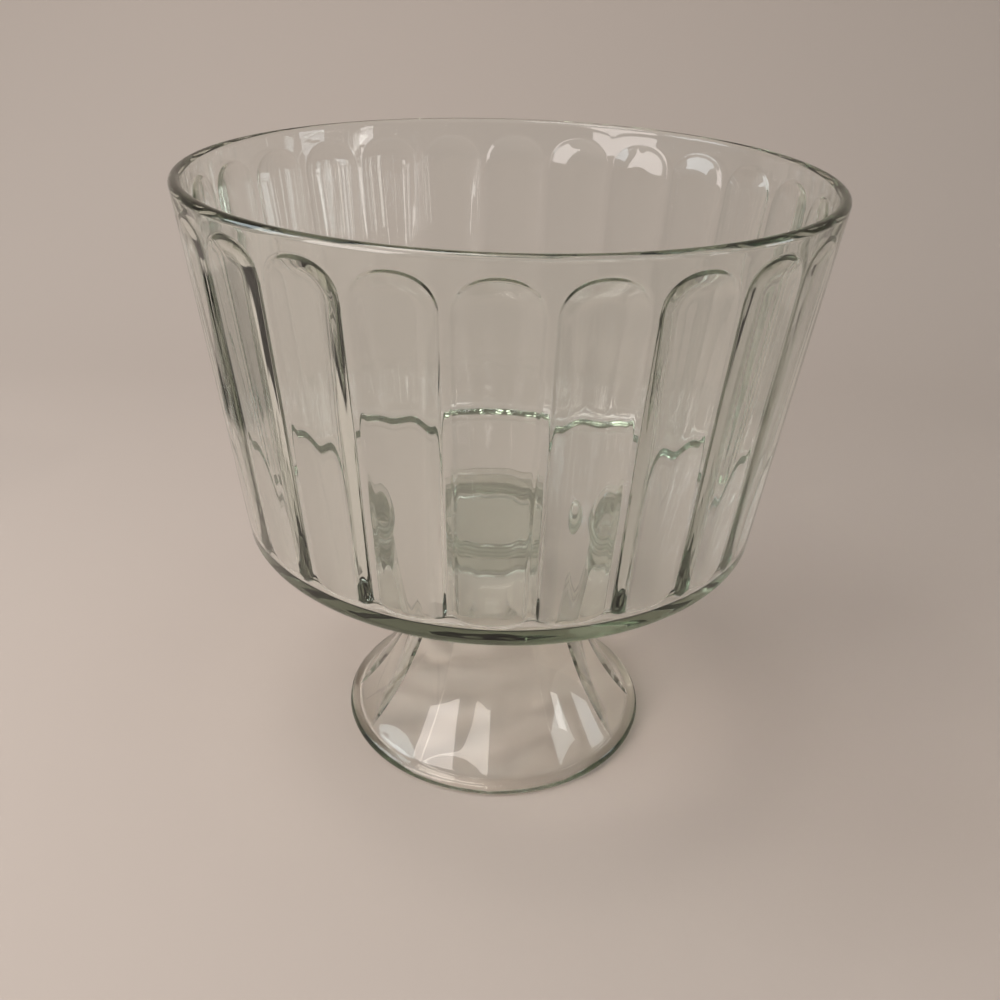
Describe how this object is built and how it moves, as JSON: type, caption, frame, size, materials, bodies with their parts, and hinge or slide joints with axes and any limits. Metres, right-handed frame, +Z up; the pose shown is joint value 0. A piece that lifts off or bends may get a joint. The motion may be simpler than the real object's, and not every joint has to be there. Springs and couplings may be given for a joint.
{
  "type": "footed trifle bowl",
  "caption": "Footed pressed-glass trifle bowl: wide straight-sided bowl with arched swelling panels inside its wall, on a bell-shaped hollow foot with flat panels.",
  "frame": {"origin": "on the bowl's axis at table height, in the plane of the ring that the foot stands on", "axes": "+Z up along the bowl's axis; -Y towards the picture's camera, with one wall panel centred on -Y"},
  "size_m": [0.216, 0.216, 0.217],
  "materials": {
    "clear_pressed_glass": "clear fire-polished glass with a faint grey-green body"
  },
  "bodies": {
    "root": {"bowl": "clear_pressed_glass", "joining_wafer": "clear_pressed_glass", "foot": "clear_pressed_glass"}
  },
  "joints": []
}
